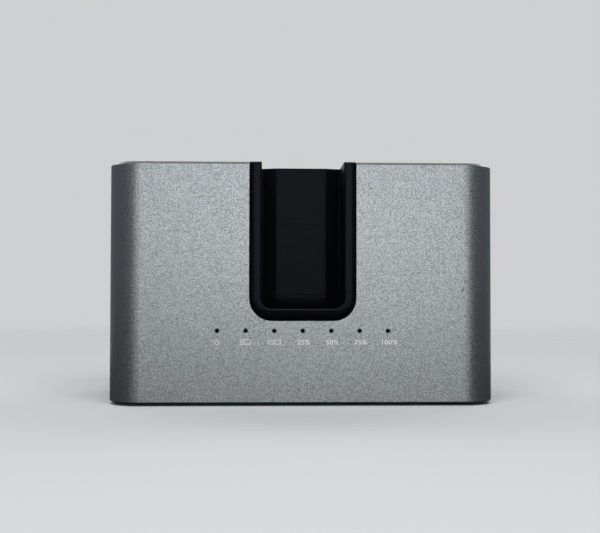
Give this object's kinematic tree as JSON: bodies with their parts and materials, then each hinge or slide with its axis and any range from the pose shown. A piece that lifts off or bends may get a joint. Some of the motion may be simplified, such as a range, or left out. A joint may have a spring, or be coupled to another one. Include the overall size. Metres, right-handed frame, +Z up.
{
  "type": "drive duplicator dock",
  "caption": "Upright aluminium-sleeved drive duplicator with a sprung-door drive bay on top, a U-shaped front channel for an M.2 card, rear power and data ports, rocker switch and push button.",
  "frame": {"origin": "centre of the footprint, on the table under the rubber feet", "axes": "+X to the right seen from the front, +Y towards the back with the ports, +Z up; the card channel faces -Y"},
  "size_m": [0.13, 0.0709, 0.081],
  "materials": {
    "anodised_sleeve": "bead-blasted and clear grey anodised, satin",
    "deck_plastic": "fine spark texture, black",
    "channel_plastic": "satin spark texture, near black",
    "base_plastic": "moulded black",
    "foot_rubber": "matt black rubber",
    "screw_steel": "black zinc plated steel",
    "bright_steel": "bright drawn steel",
    "circuit_board": "glass-fibre laminate with green solder mask",
    "connector_plastic": "glass-filled black nylon",
    "gold_contact": "gold plated spring contact",
    "nickel_shell": "nickel plated pressed shell",
    "chip_epoxy": "moulded epoxy",
    "heat_pad": "soft grey-blue silicone",
    "fin_aluminium": "black anodised extrusion",
    "ferrite": "moulded ferrite powder",
    "can_aluminium": "bare drawn can",
    "smoked_guide": "smoked polycarbonate",
    "lamp_white": "phosphor-filled resin",
    "switch_plastic": "moulded black nylon, satin"
  },
  "bodies": {
    "dock": {"outer_sleeve": "anodised_sleeve", "top_deck": "deck_plastic", "drive_bay": "deck_plastic", "front_channel": "channel_plastic", "channel_panel": "channel_plastic", "channel_tray": "channel_plastic", "base_cover": "base_plastic", "rubber_feet": "foot_rubber", "tie_screws": "screw_steel", "bay_screws": "screw_steel", "board_screws": "bright_steel", "main_board": "circuit_board", "riser_board": "circuit_board", "led_board": "circuit_board", "board_headers": "connector_plastic", "light_guide": "smoked_guide", "led_chips": "lamp_white", "m2_socket": "connector_plastic", "m2_contacts": "gold_contact", "sata_socket": "connector_plastic", "sata_contacts": "gold_contact", "hinge_pin": "bright_steel", "usb_c_shell": "nickel_shell", "usb_c_core": "connector_plastic", "dc_inlet": "connector_plastic", "dc_pin": "nickel_shell", "switch_housing": "switch_plastic", "switch_legs": "bright_steel", "clone_switch": "connector_plastic", "bridge_chip": "chip_epoxy", "thermal_pad": "heat_pad", "heat_sink": "fin_aluminium", "controller_chip": "chip_epoxy", "power_inductors": "ferrite", "capacitors": "can_aluminium", "crystal": "nickel_shell"},
    "wide_door": {"bay_door": "deck_plastic", "bay_door_spring": "bright_steel"},
    "thin_door": {"slim_door": "deck_plastic", "slim_door_spring": "bright_steel"},
    "rocker": {"power_rocker": "switch_plastic"},
    "button": {"clone_button": "switch_plastic", "clone_plunger": "connector_plastic"}
  },
  "joints": [
    {"name": "wide_door_hinge", "type": "hinge", "parent": "dock", "child": "wide_door", "pos_m": [0, 0.01945, 0.0774], "axis": [1, 0, 0], "range_deg": [0, 90], "stiffness_Nm_per_rad": 0.004, "springref_deg": -28.65, "deforming": ["bay_door_spring"]},
    {"name": "thin_door_hinge", "type": "hinge", "parent": "dock", "child": "thin_door", "pos_m": [0, 0.01945, 0.0774], "axis": [1, 0, 0], "range_deg": [0, 90], "stiffness_Nm_per_rad": 0.0015, "springref_deg": -28.65, "deforming": ["slim_door_spring"]},
    {"name": "rocker_tilt", "type": "hinge", "parent": "dock", "child": "rocker", "pos_m": [0.0445, 0.0336, 0.0156], "axis": [0, 0, 1], "range_deg": [-16, 0]},
    {"name": "button_push", "type": "slide", "parent": "dock", "child": "button", "axis": [0, -1, 0], "range_m": [0, 0.0008], "stiffness_N_per_m": 400, "springref_m": -0.0005}
  ]
}
